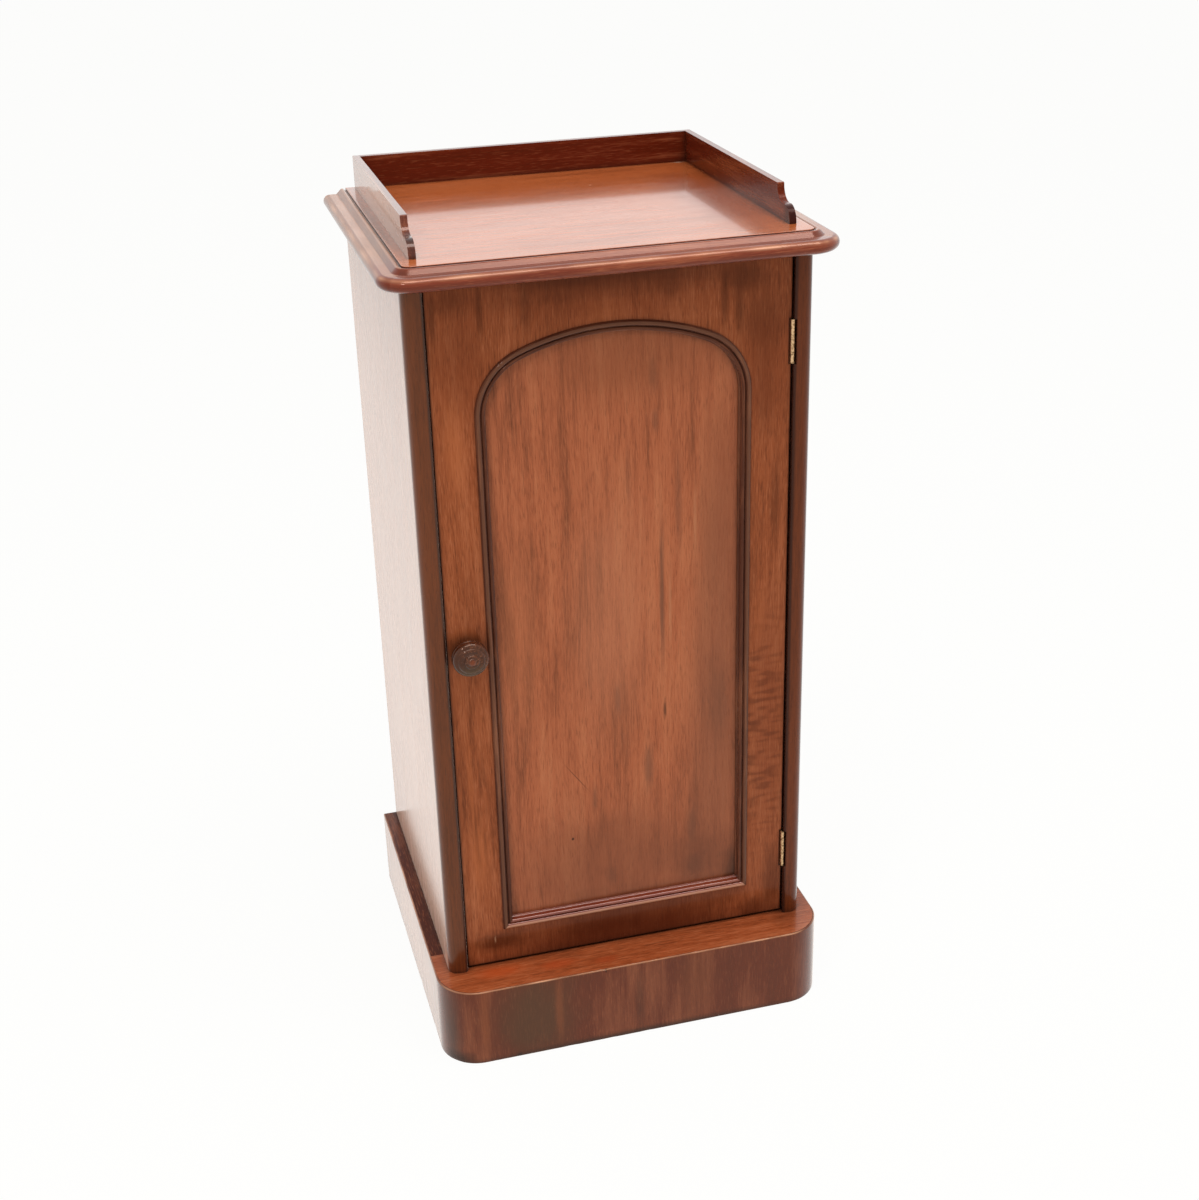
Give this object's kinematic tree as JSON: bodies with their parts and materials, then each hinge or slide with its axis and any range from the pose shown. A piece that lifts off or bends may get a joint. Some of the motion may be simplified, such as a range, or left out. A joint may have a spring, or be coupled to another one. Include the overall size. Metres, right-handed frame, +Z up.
{
  "type": "bedside pot cupboard",
  "caption": "Tall narrow mahogany bedside cupboard on a plinth, with an arch-panelled door, turned knob, butt hinges, and a moulded top with a low scrolled gallery.",
  "frame": {"origin": "on the floor, below the middle of the cupboard's bounding box", "axes": "+X to the right as seen from the front, +Y from the front to the back, +Z up"},
  "size_m": [0.411, 0.36, 0.835],
  "materials": {
    "case_mahogany": "satin",
    "door_mahogany": "satin",
    "panel_mahogany": "satin",
    "moulding_mahogany": "satin",
    "top_mahogany": "gloss",
    "plinth_mahogany": "satin",
    "knob_mahogany": "gloss",
    "softwood": "matte",
    "brass": "dull",
    "iron": "dull"
  },
  "bodies": {
    "case": {"plinth_front_rail": "softwood", "plinth_left_rail": "softwood", "plinth_right_rail": "softwood", "plinth_back_rail": "softwood", "plinth_corner_left": "softwood", "plinth_corner_right": "softwood", "plinth_facing": "plinth_mahogany", "plinth_cap_front": "plinth_mahogany", "plinth_cap_left": "plinth_mahogany", "plinth_cap_right": "plinth_mahogany", "plinth_glue_blocks": "softwood", "plinth_screws": "iron", "left_side": "case_mahogany", "right_side": "case_mahogany", "bottom_board": "softwood", "top_front_rail": "softwood", "top_back_rail": "softwood", "back_board_left": "softwood", "back_board_middle": "softwood", "back_board_right": "softwood", "back_nails": "iron", "shelf": "softwood", "shelf_bearer_left": "softwood", "shelf_bearer_right": "softwood", "bearer_screws": "iron", "moulded_top": "top_mahogany", "top_screws": "iron", "top_glue_blocks": "softwood", "gallery_back": "top_mahogany", "gallery_left": "top_mahogany", "gallery_right": "top_mahogany", "gallery_dowels": "softwood", "upper_hinge_case_leaf": "brass", "lower_hinge_case_leaf": "brass", "upper_hinge_pin": "brass", "lower_hinge_pin": "brass", "hinge_case_screws": "brass"},
    "door": {"hinge_stile": "door_mahogany", "lock_stile": "door_mahogany", "arched_top_rail": "door_mahogany", "bottom_rail": "door_mahogany", "door_face_veneer": "door_mahogany", "door_panel": "panel_mahogany", "panel_bead": "softwood", "moulding_crown": "moulding_mahogany", "moulding_left_shoulder": "moulding_mahogany", "moulding_right_shoulder": "moulding_mahogany", "moulding_left": "moulding_mahogany", "moulding_right": "moulding_mahogany", "moulding_bottom": "moulding_mahogany", "upper_hinge_door_leaf": "brass", "lower_hinge_door_leaf": "brass", "hinge_door_screws": "brass"},
    "turn_catch": {"knob": "knob_mahogany", "catch_spindle": "iron", "catch_tongue": "brass", "catch_nut": "brass"}
  },
  "joints": [
    {"name": "door_hinge", "type": "hinge", "parent": "case", "child": "door", "pos_m": [0.1666, -0.1385, 0.4365], "axis": [0, 0, 1], "range_deg": [0, 110]},
    {"name": "catch_turn", "type": "hinge", "parent": "door", "child": "turn_catch", "pos_m": [-0.147, -0.137, 0.438], "axis": [0, -1, 0], "range_deg": [0, 90]}
  ]
}
